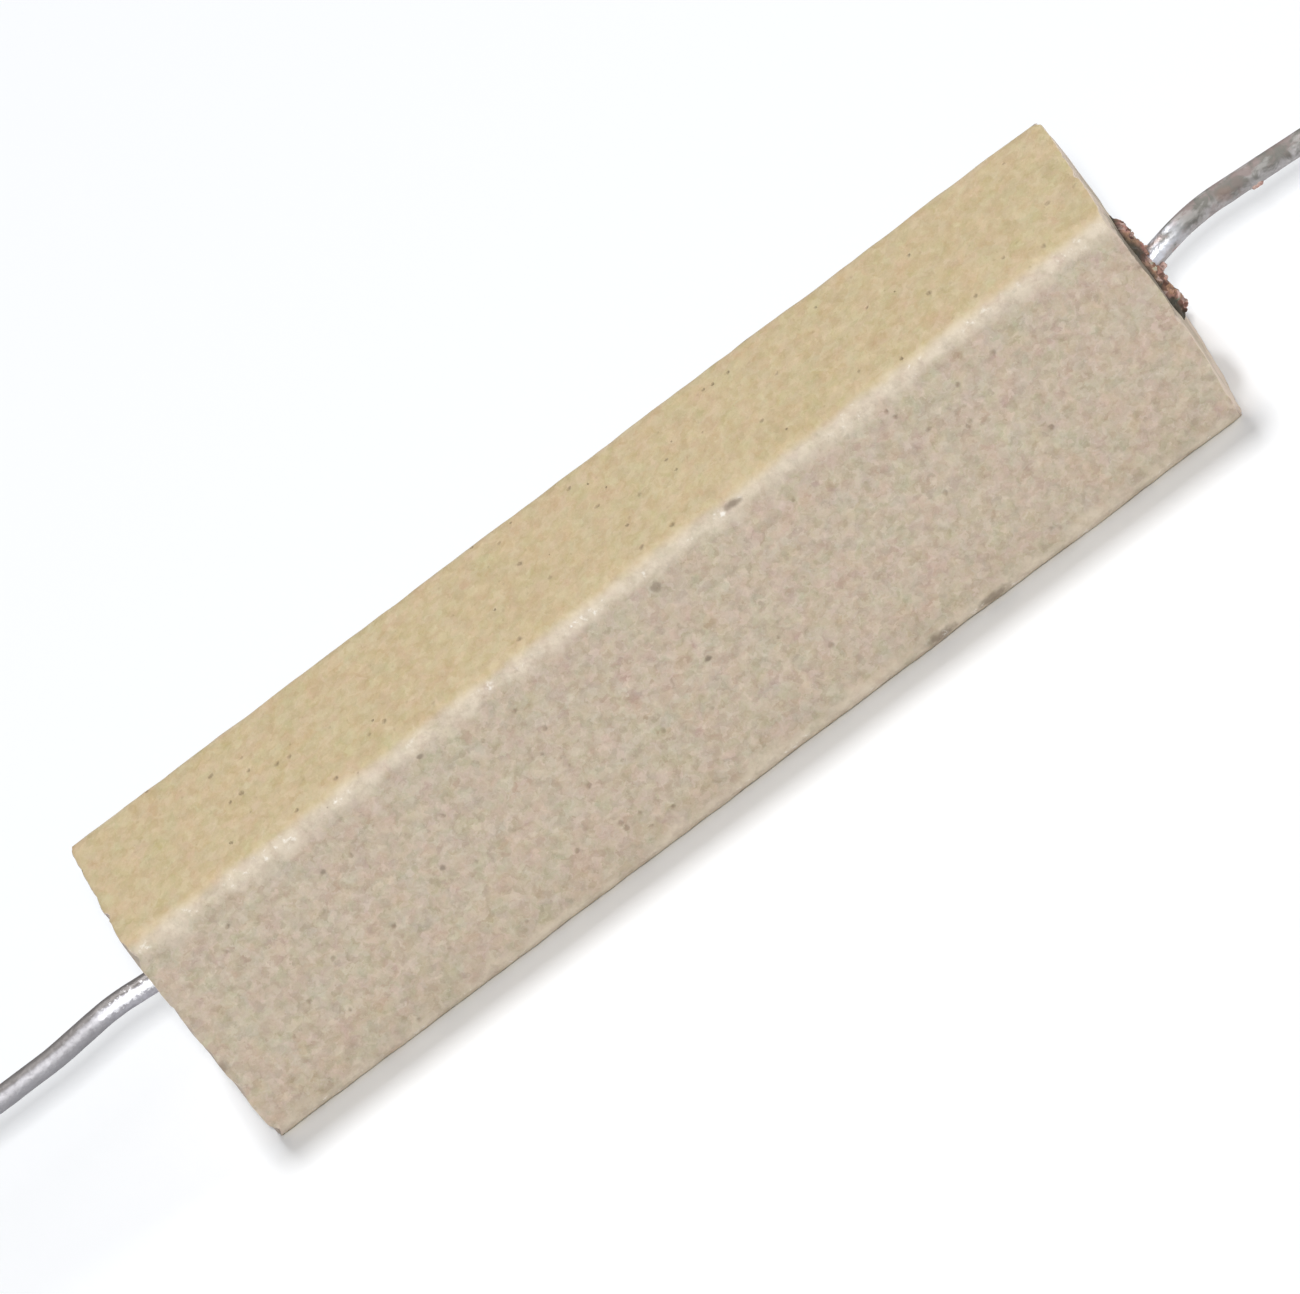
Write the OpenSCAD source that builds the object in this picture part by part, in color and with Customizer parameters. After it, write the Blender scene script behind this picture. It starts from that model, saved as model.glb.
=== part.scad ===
// Axial wirewound power resistor in a square ceramic tube, sealed with cement at both ends.
// It lies on one long face: X runs along the body, Z is up, the origin is under its middle.

/* [Ceramic case] */
// Length of the square tube
case_l = 39.2; // [34:0.1:48]
// Width and height of the square section
case_s = 9; // [7.4:0.1:12]
// Radius of the four long edges
case_edge_r = 0.65; // [0.3:0.05:1.2]
// Bevel worn round both ends
case_end_bevel = 0.06; // [0.05:0.01:0.4]
// Diameter of the round bore
bore_d = 4.5; // [3.7:0.1:5.5]

/* [Resistance element] */
// Depth of the caps' outer faces behind the case's ends
cap_inset = 6.5; // [5.3:0.1:8]
// Length of each pressed end cap
cap_l = 2.5; // [1.5:0.1:4]
// Wall of the end caps
cap_wall = 0.3; // [0.2:0.05:0.4]
// Bevel round each cap's closed end
cap_bevel = 0.2; // [0.1:0.05:0.3]
// Diameter of the glass-fibre core
core_d = 2.3; // [1.8:0.1:2.8]
// Diameter of the resistance wire
wire_d = 0.22; // [0.12:0.01:0.3]
// Number of turns on the core
wire_turns = 26; // [10:1:32]
// Gap that keeps the wire clear of the core, the caps and the filling
wire_gap = 0.04; // [0.02:0.01:0.08]

/* [Cement plugs] */
// Length of each plug inside the bore
plug_l = 3; // [2.2:0.1:4.5]
// Height of the crown that stands out of the right end
right_crown = 0.4; // [0.2:0.05:0.8]
// Height of the lobe on the lower side of the right crown
right_lobe = 0.35; // [0:0.05:0.4]
// Height of the crown in the left end, sunk in the bore
left_crown = -0.2; // [-0.5:0.05:0]
// Depth of both crowns' rims inside the bore
rim_sink = 0.3; // [0.1:0.05:0.6]
// Height of the lumps on both crowns
lump_h = 0.12; // [0:0.02:0.2]
// Depth of the hollow where the right plug has come away from the bore
shrink_depth = 0.8; // [0.2:0.1:1.2]

/* [Leads] */
// Diameter of the tinned copper wire
lead_d = 0.8; // [0.6:0.05:1]
// Reach of each lead beyond the case's end
lead_free = 30; // [20:1:40]
// Bending radius at the wire's centre
bend_r = 8; // [3:0.5:9]
// Roll of the plane that the bends lie in, from upright towards the back
bend_roll = 27; // [0:1:60]
// Places of the right lead's bends, measured outwards from the case's end
right_bend_x = [-3, -0.5, 2.2, 8]; // [-5:0.1:12]
// Slope of the right lead after each bend
right_slope = [-4, 12, -3.7, 0]; // [-15:0.1:15]
// Places of the left lead's bends, measured outwards from the case's end
left_bend_x = [-4.1, -0.9, 1.8, 4.5]; // [-5:0.1:12]
// Slope of the left lead after each bend
left_slope = [11, 4.5, -4.3, 0]; // [-15:0.1:15]

/* [Hidden] */
$fn = 64;

// Heights and places that follow from the sizes above
axis_z = case_s / 2;
end_x = case_l / 2;
cap_x = end_x - cap_inset;
cap_d = core_d + 2 * cap_wall;
tip_x = end_x + lead_free;
winding_d = core_d + 2 * (wire_d + 2 * wire_gap);

// Swelling of the wire at a bend, which each straight run ends inside
bend_swell = 0.02;
// Length by which pieces of one solid reach into each other
join = 0.05;
// Length by which a cut runs past the face that it opens
cut_past = 1;

// Steps of the meshes that follow a rule
wire_steps = 20;
wire_sides = 6;
crown_rings = 9;
crown_sectors = 48;

// Direction in the end face, from the back upwards, where the right plug has come away
shrink_dir = 153;
// Shares of the crown's radius where the hollow starts and where it is deepest
shrink_from = 0.55;
shrink_to = 0.85;
// Direction of the right crown's lobe, and shares of the radius where it starts and is highest
lobe_dir = 243;
lobe_from = 0.45;
lobe_to = 0.95;
// Clearance of the crowns in the bore, and the radius that it leaves
crown_gap = 0.02;
crown_r = bore_d / 2 - crown_gap;
// Cement left under the deepest hollow, and the depth of the crowns' roots
crown_base = 0.2;
crown_root = rim_sink + shrink_depth + lump_h + crown_base;
// Powers of the radius at which a crown's dome and its lumps fall off to the rim
dome_fall = 4;
lump_fall = 8;
// Lengths of the two waves that make the lumps, and the height and slant of the short one
lump_wave = 1.1;
lump_ripple = 0.55;
ripple_share = 0.6;
ripple_slant = 0.7;
// Phases of the waves, which set where the lumps of each crown stand
right_phase = 40;
left_phase = 110;

// Turns Z to X and lifts a shape to the middle of the section
module on_axis() translate([0, 0, axis_z]) rotate([0, 90, 0]) children();

// Bevels in plan both ends of a block as wide as the case
module bevelled_block() {
    x = end_x;
    y = case_s / 2;
    c = case_end_bevel;
    linear_extrude(case_s, center = true)
        polygon([
            [-x, y - c], [-x, c - y], [c - x, -y], [x - c, -y],
            [x, c - y], [x, y - c], [x - c, y], [c - x, y]
        ]);
}

// Square section with round edges and a round bore
module case_section() {
    flat = case_s - 2 * case_edge_r;
    difference() {
        union() {
            square([case_s, flat], center = true);
            square([flat, case_s], center = true);
            for (corner = [0:90:270])
                rotate(corner) translate([flat / 2, flat / 2]) circle(r = case_edge_r);
        }
        circle(d = bore_d);
    }
}

module ceramic_case() {
    color("#ccba97") intersection() {
        on_axis() linear_extrude(case_l, center = true) case_section();
        translate([0, 0, axis_z]) bevelled_block();
        translate([0, 0, axis_z]) rotate([90, 0, 0]) bevelled_block();
    }
}

// Offsets of a lead's corners from the axis, each found from the one before it
function corner_rise(bend_x, slope, i) =
    i == 0 ? 0 : corner_rise(bend_x, slope, i - 1) + (bend_x[i] - bend_x[i - 1]) * tan(slope[i - 1]);

// Corners of a lead's centre line as [x, rise], from the weld on its cap to its cut tip
function lead_corners(bend_x, slope) =
    let (
        last = len(bend_x) - 1,
        last_rise = corner_rise(bend_x, slope, last),
        tip_rise = last_rise + (lead_free - bend_x[last]) * tan(slope[last])
    )
    concat(
        [[cap_x, 0]],
        [for (i = [0:last]) [end_x + bend_x[i], corner_rise(bend_x, slope, i)]],
        [[tip_x, tip_rise]]
    );

// Length from a corner to the point where its bend starts
function bend_run(turn) = bend_r * tan(abs(turn) / 2);

// Straight wire between two corners, less what the bends take at each end
module wire_run(from, to, slope, less_in, less_out) {
    length = norm(to - from) - less_in - less_out;
    translate([from[0], 0, from[1]]) rotate([0, -slope, 0]) translate([less_in, 0, 0])
        rotate([0, 90, 0]) cylinder(d = lead_d, h = length);
}

// Round bend at a corner, from one slope to the next
module wire_bend(corner, slope_in, slope_out) {
    turn = slope_out - slope_in;
    side = sign(turn);
    start = side > 0 ? slope_in - 90 : slope_out + 90;
    translate([corner[0], 0, corner[1]]) rotate([0, -slope_in, 0])
        translate([-bend_run(turn), 0, side * bend_r]) rotate([0, slope_in, 0])
            rotate([90, 0, 0]) rotate(start) rotate_extrude(angle = abs(turn))
                translate([bend_r, 0]) circle(d = lead_d + bend_swell);
}

// Lead along +X, welded to its cap and bent in one plane
module bent_lead(bend_x, slope) {
    corners = lead_corners(bend_x, slope);
    slopes = concat([0], slope);
    inner = [for (i = [1:len(slope)]) bend_run(slopes[i] - slopes[i - 1]) - join];
    less = concat([0], inner, [0]);
    translate([0, 0, axis_z]) rotate([-bend_roll, 0, 0]) {
        for (i = [0:len(slope)])
            wire_run(corners[i], corners[i + 1], slopes[i], less[i], less[i + 1]);
        for (i = [1:len(slope)])
            wire_bend(corners[i], slopes[i - 1], slopes[i]);
    }
}

module lead_right() color("#a3a3a6") bent_lead(right_bend_x, right_slope);

module lead_left() color("#b4b5ba") mirror([1, 0, 0]) bent_lead(left_bend_x, left_slope);

// Pressed cup that closes one end of the core, with its outer face towards +X
module end_cap() {
    on_axis() translate([0, 0, cap_x]) difference() {
        union() {
            translate([0, 0, -cap_l]) cylinder(d = cap_d, h = cap_l - cap_bevel);
            translate([0, 0, -cap_bevel])
                cylinder(d1 = cap_d, d2 = cap_d - 2 * cap_bevel, h = cap_bevel);
        }
        translate([0, 0, -cap_l - cut_past])
            cylinder(d = core_d, h = cap_l - cap_wall + cut_past);
    }
}

module end_cap_right() color("#9a9c9e") end_cap();

module end_cap_left() color("#9a9c9e") mirror([1, 0, 0]) end_cap();

module core_rod() {
    color("#e8e4d4") on_axis() cylinder(d = core_d, h = 2 * (cap_x - cap_wall), center = true);
}

// Point of the helix at a turn, as a place along the axis and an angle round it
function helix_point(turn, radius, pitch, start) =
    [start + pitch * turn, radius * cos(360 * turn), radius * sin(360 * turn)];

// Ring of the wire's section, square to the core's radius and leaning with the pitch
function wire_ring(turn, radius, pitch, start) =
    let (
        centre = helix_point(turn, radius, pitch, start),
        outward = [0, cos(360 * turn), sin(360 * turn)],
        lean = atan2(pitch, 2 * PI * radius),
        across = [cos(lean), sin(lean) * sin(360 * turn), -sin(lean) * cos(360 * turn)]
    )
    [for (k = [0:wire_sides - 1])
        centre + wire_d / 2 * (cos(360 * k / wire_sides) * outward
            + sin(360 * k / wire_sides) * across)];

// One layer of resistance wire from cap to cap
module resistance_winding() {
    half = cap_x - cap_l - wire_gap - wire_d / 2;
    pitch = 2 * half / wire_turns;
    radius = core_d / 2 + wire_gap + wire_d / 2;
    last = wire_turns * wire_steps;
    points = [for (i = [0:last]) each wire_ring(i / wire_steps, radius, pitch, -half)];
    sides = [for (i = [0:last - 1], k = [0:wire_sides - 1])
        let (a = i * wire_sides + k, b = i * wire_sides + (k + 1) % wire_sides)
        each [[a, b, b + wire_sides], [a, b + wire_sides, a + wire_sides]]];
    first_end = [for (k = [wire_sides - 1:-1:0]) k];
    last_end = [for (k = [0:wire_sides - 1]) last * wire_sides + k];
    color("#8f8a82") translate([0, 0, axis_z])
        polyhedron(points, concat(sides, [first_end, last_end]), convexity = 10);
}

// Packed mineral filling between the plugs, moulded round the element and its leads
module mineral_filling() {
    color("#d9d4c8") difference() {
        on_axis() cylinder(d = bore_d, h = 2 * (end_x - plug_l), center = true);
        on_axis() cylinder(d = winding_d, h = 2 * (cap_x - cap_l), center = true);
        for (side = [-1, 1])
            translate([side * (cap_x - cap_l / 2), 0, 0])
                on_axis() cylinder(d = cap_d, h = cap_l, center = true);
        lead_left();
        lead_right();
    }
}

function smooth_step(low, high, t) =
    let (s = min(1, max(0, (t - low) / (high - low)))) s * s * (3 - 2 * s);

// Lumps of the crumbly cement at a point of the end face
function lumps(y, z, phase) =
    lump_h * (sin(360 * y / lump_wave + phase) * cos(360 * z / lump_wave - phase)
        + ripple_share * sin(360 * (y - ripple_slant * z) / lump_ripple + 2 * phase));

// Height of a crown over the case's end at a share of its radius and a direction
function crown_height(share, dir, top, lobe, shrink, phase) =
    let (
        y = share * crown_r * cos(dir),
        z = share * crown_r * sin(dir),
        dome = top - (top + rim_sink) * pow(share, dome_fall),
        bulge = lobe * smooth_step(lobe_from, lobe_to, share * cos(dir - lobe_dir)),
        near = max(0, cos(dir - shrink_dir)),
        hollow = shrink * sqrt(near) * smooth_step(shrink_from, shrink_to, share)
    )
    dome + bulge - hollow + lumps(y, z, phase) * (1 - pow(share, lump_fall));

// Crumbly crown of a plug on the end at +X, as a mesh on rings and sectors
module crown(top, lobe, shrink, phase) {
    rim = crown_rings * crown_sectors;
    function ring_point(share, dir, x) = [x, share * crown_r * cos(dir), share * crown_r * sin(dir)];
    function index(i, j) = 1 + (i - 1) * crown_sectors + j % crown_sectors;
    middle = [[crown_height(0, 0, top, lobe, shrink, phase), 0, 0]];
    surface = [for (i = [1:crown_rings], j = [0:crown_sectors - 1])
        let (share = i / crown_rings, dir = 360 * j / crown_sectors)
        ring_point(share, dir, crown_height(share, dir, top, lobe, shrink, phase))];
    root = [for (j = [0:crown_sectors - 1])
        ring_point(1, 360 * j / crown_sectors, -crown_root - join)];
    hub_faces = [for (j = [0:crown_sectors - 1]) [0, index(1, j + 1), index(1, j)]];
    top_faces = [for (i = [1:crown_rings - 1], j = [0:crown_sectors - 1])
        each [
            [index(i, j), index(i, j + 1), index(i + 1, j + 1)],
            [index(i, j), index(i + 1, j + 1), index(i + 1, j)]
        ]];
    side_faces = [for (j = [0:crown_sectors - 1])
        let (a = index(crown_rings, j), b = index(crown_rings, j + 1),
            c = rim + 1 + j, d = rim + 1 + (j + 1) % crown_sectors)
        each [[a, b, d], [a, d, c]]];
    root_face = [for (j = [0:crown_sectors - 1]) rim + 1 + j];
    translate([end_x, 0, axis_z])
        polyhedron(
            concat(middle, surface, root),
            concat(hub_faces, top_faces, side_faces, [root_face]),
            convexity = 6
        );
}

// Plug on the end at +X: a plain cylinder in the bore with a crumbly crown
module plug_blank(top, lobe, shrink, phase) {
    on_axis() translate([0, 0, end_x - plug_l]) cylinder(d = bore_d, h = plug_l - crown_root);
    crown(top, lobe, shrink, phase);
}

module cement_plug_right() {
    color("#7d5040") difference() {
        plug_blank(right_crown, right_lobe, shrink_depth, right_phase);
        lead_right();
    }
}

module cement_plug_left() {
    color("#7d5040") difference() {
        mirror([1, 0, 0]) plug_blank(left_crown, 0, 0, left_phase);
        lead_left();
    }
}

ceramic_case();
cement_plug_left();
cement_plug_right();
mineral_filling();
core_rod();
resistance_winding();
end_cap_left();
end_cap_right();
lead_left();
lead_right();
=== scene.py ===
"""Looks of an axial wirewound power resistor: worn ceramic tube, crumbly cement seals and tinned leads.

Each new piece is made in millimetres round the axis of the body, with X along it, and is then placed.
"""

import math
import random

import bmesh
import bpy
from mathutils import Matrix, Quaternion, Vector, kdtree, noise

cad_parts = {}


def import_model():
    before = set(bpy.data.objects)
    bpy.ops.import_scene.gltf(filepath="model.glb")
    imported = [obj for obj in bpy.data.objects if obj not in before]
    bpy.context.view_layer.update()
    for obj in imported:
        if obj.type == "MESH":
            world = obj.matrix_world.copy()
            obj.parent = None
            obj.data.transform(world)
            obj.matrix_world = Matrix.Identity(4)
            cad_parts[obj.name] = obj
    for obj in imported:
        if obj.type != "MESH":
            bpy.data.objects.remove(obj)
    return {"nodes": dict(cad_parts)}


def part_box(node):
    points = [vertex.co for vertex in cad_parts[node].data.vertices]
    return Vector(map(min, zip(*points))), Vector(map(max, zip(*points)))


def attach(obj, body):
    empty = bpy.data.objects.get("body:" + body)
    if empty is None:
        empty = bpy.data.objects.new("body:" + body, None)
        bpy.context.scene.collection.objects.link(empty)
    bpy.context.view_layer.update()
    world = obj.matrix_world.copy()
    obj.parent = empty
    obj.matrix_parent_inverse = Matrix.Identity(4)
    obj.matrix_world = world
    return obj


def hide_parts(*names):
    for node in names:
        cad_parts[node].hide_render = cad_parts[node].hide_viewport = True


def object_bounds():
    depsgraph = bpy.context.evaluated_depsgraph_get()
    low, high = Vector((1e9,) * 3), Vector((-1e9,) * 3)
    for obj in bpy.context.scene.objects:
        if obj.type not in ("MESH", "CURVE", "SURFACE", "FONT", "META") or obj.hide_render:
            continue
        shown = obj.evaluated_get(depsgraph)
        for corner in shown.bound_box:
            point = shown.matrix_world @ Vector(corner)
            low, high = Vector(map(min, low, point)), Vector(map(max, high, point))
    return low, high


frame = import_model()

MM = 0.001
CAD_LOW, CAD_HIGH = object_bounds()

# The case, read from the frame
CASE_LOW, CASE_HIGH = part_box("ceramic_case")
AXIS = Vector((0, 0, (CASE_LOW.z + CASE_HIGH.z) / 2))
END = CASE_HIGH.x / MM
HALF_SIDE = (CASE_HIGH.z - CASE_LOW.z) / 2 / MM
BORE_R = (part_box("mineral_filling")[1].z - AXIS.z) / MM
CAP_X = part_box("end_cap_right")[1].x / MM
TIP = CAD_HIGH.x / MM
PLUG_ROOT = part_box("cement_plug_right")[0].x / MM

# The case's edges and the size of its cells
EDGE_R = 0.65
EDGE_SEGMENTS = 6
CELL = 0.2
END_RINGS = 10
BORE_RINGS = 24
RIM_BEVEL = 0.04
BORE_BEVEL = 0.05

# How far the top of each end stands out over its bottom, and the chips and worn corners of the ends: side,
# place in the end face, reach and depth. A negative depth stands out.
END_LEAN = 0.12
CHIPS = (
    (1, (0, 0), 12, -0.07),
    (1, (-4.5, -4.5), 3.2, 0.26),
    (1, (4.5, -4.5), 4.0, -0.05),
    (-1, (-4.5, -1.2), 3.0, -0.06),
    (-1, (-4.5, 0.85), 0.3, 0.1),
    (-1, (-4.5, -0.25), 0.45, 0.08),
    (-1, (-4.5, -1.97), 0.5, 0.14),
)

# Wear of the case: dents, ripples with the depth, wave and seed of each layer, and depths at its ends
FACE_DENT = 0.012
FACE_RIPPLES = ((0.010, 3.1, 1), (0.006, 0.5, 2))
EDGE_DENT = 0.03
EDGE_RIPPLES = ((0.035, 2.3, 3), (0.018, 0.7, 4))
END_RIPPLES = ((0.06, 1.7, 7), (0.02, 0.5, 8))
CHIP_DEPTH = 0.25
CRUMB_DEPTH = 0.03
CORNER_WEAR = 0.07
END_WEAR_REACH = 0.3

# The leads' bends: distance of each from the case's end, and the slope in degrees after it
LEAD_R = 0.4
BEND_R = 8
BEND_ROLL = math.radians(27)
RIGHT_BENDS = ((-3, -4), (-0.5, 12), (2.2, -3.7), (8, 0))
LEFT_BENDS = ((-4.1, 11), (-0.9, 4.5), (1.8, -4.3), (4.5, 0))
LEAD_SIDES = 28
LEAD_STEP = 0.12

# The uneven tin coat on a lead: how deep its runs, grain and beads are, and how far it lies inwards
TIN_RUN = 0.012
TIN_GRAIN = 0.004
TIN_BEAD = 0.03
TIN_SINK = 0.006

# The cement crowns, over the case's end
RIM_SINK = 0.3
RIGHT_CROWN = 0.4
LEFT_CROWN = -0.2
CROWN_RIPPLE = 0.1
SHRINK_DEPTH = 0.8
SHRINK_DIR = math.radians(153)
LOBE_DIR = math.radians(63)
LOBES = 0.08
LOW_LOBE = 0.35
PLUG_SIDES = 64
PLUG_RINGS = 12
BASE_SINK = 0.16

# The plugs' grains, and the depth, wave and seed of the layers of pits in their skin
GRAINS = 620
GRAIN_SIZES = (0.07, 0.27)
GRAIN_SQUASH = (0.7, 1.2)
GRAIN_LIFT = (-0.16, 0.06)
PIT_LAYERS = ((0.03, 0.28, 0), (0.02, 0.12, 1))
PITTED_LENGTH = 1.5
VOXEL = 0.045

# Depths over which painted shade darkens a hollow of a crown, and heights over which painted shade at its
# foot ends
HOLLOW_SHADE_RANGE = (0.08, 0.4)
FOOT_SHADE_RANGE = (0.04, 0.34)

# Cement residue by the right lead: distance from the case's end, height over the lead's middle, spread
# along the lead, range of sizes, count
RESIDUES = (
    (0.36, 0.36, 0.12, (0.06, 0.12), 9),
    (0.44, -0.42, 0.12, (0.09, 0.16), 10),
    (4.5, -0.35, 0.17, (0.08, 0.13), 8),
)
RESIDUE_TONES = (0.8, 0.92)
RESIDUE_WIDTH = 0.12
RESIDUE_RISE = 0.05
RESIDUE_SEED = 5

# The photograph's view
VIEW_AZIMUTH = math.radians(2.95)
VIEW_ELEVATION = math.radians(26.82)
VIEW_ROLL = math.radians(-38.24)
LENS = 640
SENSOR = 36
FRAME_W = 1300
PX_PER_MM = 30.92
CENTRE_RIGHT_PX = 8.1
CENTRE_UP_PX = 17.6

# The stage: half the floor's side in metres, and the sky's strength as a light and as it is seen
FLOOR_HALF = 4
SKY_LIGHT = 0.07
SKY_SEEN = 1.0
PAPER = (0.95, 0.967, 0.99, 1)


def smooth_step(low, high, t):
    s = min(1, max(0, (t - low) / (high - low)))
    return s * s * (3 - 2 * s)


def ripple(p, wave, seed=0):
    """Smooth noise from -1 to 1 with bumps about one wave apart."""
    return noise.noise(Vector(p) / wave + Vector((seed * 17.3, seed * 5.1, seed * 11.7)))


def layered(p, start, layers, seed=0):
    """Adds layers of ripples to a start. Each layer has its depth, wave and seed."""
    return sum((depth * ripple(p, wave, seed + own) for depth, wave, own in layers), start)


def add_piece(name, bm, slot, material, *nodes):
    """Turns a bmesh in millimetres round the axis into a piece in place, which stands for CAD nodes."""
    bmesh.ops.transform(bm, matrix=Matrix.Translation(AXIS) @ Matrix.Scale(MM, 4), verts=bm.verts)
    mesh = bpy.data.meshes.new(name)
    for face in bm.faces:
        face.smooth = True
    bm.to_mesh(mesh)
    bm.free()
    mesh.materials.append(material)
    piece = bpy.data.objects.new(name, mesh)
    bpy.context.scene.collection.objects.link(piece)
    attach(piece, "root")
    if nodes:
        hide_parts(*nodes)
    return piece


# Ceramic case

def along_x(bm):
    return [e for e in bm.edges if abs(e.verts[0].co.x - e.verts[1].co.x) > END]


def square_tube():
    """Block with round long edges, open at its ends and cut into fine cells."""
    bm = bmesh.new()
    bmesh.ops.create_cube(bm, size=2)
    bmesh.ops.scale(bm, vec=(END, HALF_SIDE, HALF_SIDE), verts=bm.verts)
    bmesh.ops.bevel(
        bm, geom=along_x(bm), offset=EDGE_R, offset_type="OFFSET", affect="EDGES",
        segments=EDGE_SEGMENTS, profile=0.5, material=-1,
    )
    bm.normal_update()
    ends = [f for f in bm.faces if abs(f.normal.x) > 0.5]
    bmesh.ops.delete(bm, geom=ends, context="FACES_ONLY")
    bmesh.ops.subdivide_edges(bm, edges=along_x(bm), cuts=round(2 * END / CELL) - 1)
    wide = [e for e in bm.edges if e.calc_length() > HALF_SIDE]
    bmesh.ops.subdivide_edges(bm, edges=wide, cuts=round(2 * HALF_SIDE / CELL) - 1)
    return bm


def close_end(bm, side):
    """Joins the open end to a round hole, with rings between them."""
    rim = [e for e in bm.edges if e.is_boundary and e.verts[0].co.x * side > 0]
    turned = Matrix.Translation((side * END, 0, 0)) @ Matrix.Rotation(math.pi / 2, 4, "Y")
    hole = bmesh.ops.create_circle(bm, segments=len(rim), radius=BORE_R, matrix=turned)
    hole_edges = list({e for v in hole["verts"] for e in v.link_edges})
    made = bmesh.ops.bridge_loops(bm, edges=rim + hole_edges)
    spokes = [e for e in made["edges"] if e.calc_length() > 1]
    bmesh.ops.subdivide_edges(bm, edges=spokes, cuts=END_RINGS)


def bevel_rims(bm, at_rim, offset):
    """Wears the sharp edges at both ends where at_rim says that a point lies on the rim."""
    edges = [
        e for e in bm.edges
        if all(abs(v.co.x) > END - 1e-4 and at_rim(v.co) for v in e.verts)
    ]
    bmesh.ops.bevel(
        bm, geom=edges, offset=offset, offset_type="OFFSET", affect="EDGES",
        segments=2, profile=0.5, material=-1,
    )


def section_reach(p):
    """How far out a point lies in the section. The whole outline, round edges too, is at HALF_SIDE."""
    y, z = abs(p.y), abs(p.z)
    flat = HALF_SIDE - EDGE_R
    corner = math.hypot(max(0, y - flat), max(0, z - flat))
    return max(y, z) if corner < 1e-6 or min(y, z) < flat else flat + corner


def end_wear(p):
    """How far an end is worn or leans in at a point, by its chips and by being sawn out of square."""
    depth = -END_LEAN / 2 * p.z / HALF_SIDE
    for side, (y, z), reach, deep in CHIPS:
        if side * p.x > 0:
            depth += deep * math.exp(-((p.y - y) ** 2 + (p.z - z) ** 2) / reach**2)
    return depth


def wear_case(bm):
    """Gives the case uneven faces, wavy edges, and ends that wave, with worn corners and small chips."""
    flat = HALF_SIDE - EDGE_R
    bm.normal_update()
    moves = []
    for v in bm.verts:
        p = v.co
        outside = smooth_step(HALF_SIDE - 0.6, HALF_SIDE - 0.1, section_reach(p))
        edge = smooth_step(flat - 0.3, flat + 0.15, min(abs(p.y), abs(p.z)))
        dent = layered(p, FACE_DENT, FACE_RIPPLES) + edge * layered(p, EDGE_DENT, EDGE_RIPPLES)
        move = -v.normal * max(0, dent) * outside
        near_end = math.exp(-(END - abs(p.x)) / END_WEAR_REACH)
        chip = CHIP_DEPTH * max(0, ripple(p, 0.8, 5) - 0.2)
        chip += CRUMB_DEPTH * max(0, ripple(p, 0.33, 6))
        chip += CORNER_WEAR * edge
        inward = Vector((-math.copysign(1, p.x), 0, 0))
        move += inward * near_end * (outside * chip + layered(p, 0, END_RIPPLES) + end_wear(p))
        moves.append(move)
    for v, move in zip(bm.verts, moves):
        v.co += move


def ceramic_tube(material):
    """The case: a square tube with a round bore, worn on its edges and at its ends."""
    bm = square_tube()
    close_end(bm, 1)
    close_end(bm, -1)
    holes = [e for e in bm.edges if e.is_boundary]
    bore = bmesh.ops.bridge_loops(bm, edges=holes)
    bmesh.ops.subdivide_edges(
        bm, edges=[e for e in bore["edges"] if e.calc_length() > END], cuts=BORE_RINGS
    )
    bevel_rims(bm, lambda p: section_reach(p) > HALF_SIDE - 1e-3, RIM_BEVEL)
    bevel_rims(bm, lambda p: math.hypot(p.y, p.z) < BORE_R + 1e-3, BORE_BEVEL)
    bmesh.ops.recalc_face_normals(bm, faces=bm.faces)
    wear_case(bm)
    return add_piece("worn_ceramic_tube", bm, "ceramic", material, "ceramic_case")


# Cement plugs

def crown_height(y, z, top, shrink):
    """Height of a crown over the case's end, before its grains. Only a crown that shrinks has lobes."""
    share = min(1, math.hypot(y, z) / BORE_R)
    dome = top - (top + RIM_SINK) * share**4 + CROWN_RIPPLE * ripple((top * 10, y, z), 1.1, 3)
    if not shrink:
        return dome
    across = y * math.cos(LOBE_DIR) + z * math.sin(LOBE_DIR)
    lobes = LOBES * smooth_step(0.8, 1.5, abs(across)) + LOW_LOBE * smooth_step(1.0, 2.1, -across)
    near = max(0, math.cos(math.atan2(z, y) - SHRINK_DIR))
    return dome + lobes - shrink * near**0.35 * smooth_step(0.6, 0.9, share)


def plug_base(top, shrink):
    """Cylinder in the bore whose outer face follows the crown, a little under its grains."""
    bm = bmesh.new()
    length = END - PLUG_ROOT
    turned = Matrix.Translation((END - length / 2, 0, 0)) @ Matrix.Rotation(math.pi / 2, 4, "Y")
    bmesh.ops.create_cone(
        bm, cap_ends=True, cap_tris=True, segments=PLUG_SIDES,
        radius1=BORE_R, radius2=BORE_R, depth=length, matrix=turned,
    )
    hub = next(v for v in bm.verts if v.co.x > END - 1e-3 and math.hypot(v.co.y, v.co.z) < 1e-3)
    bmesh.ops.subdivide_edges(bm, edges=hub.link_edges[:], cuts=PLUG_RINGS)
    for v in bm.verts:
        if v.co.x > END - 1e-3:
            v.co.x = END + crown_height(v.co.y, v.co.z, top, shrink) - BASE_SINK
    return bm


def grain_places(seed, top, shrink):
    """Centre and size of each cement grain on a crown."""
    rng = random.Random(seed)
    places = []
    for _ in range(GRAINS):
        size = GRAIN_SIZES[0] + (GRAIN_SIZES[1] - GRAIN_SIZES[0]) * rng.random() ** 2
        far = (BORE_R - size) * math.sqrt(rng.random())
        turn = rng.uniform(0, 2 * math.pi)
        y, z = far * math.cos(turn), far * math.sin(turn)
        lift = rng.uniform(*GRAIN_LIFT) - size
        places.append((Vector((END + crown_height(y, z, top, shrink) + lift, y, z)), size))
    return places


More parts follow.
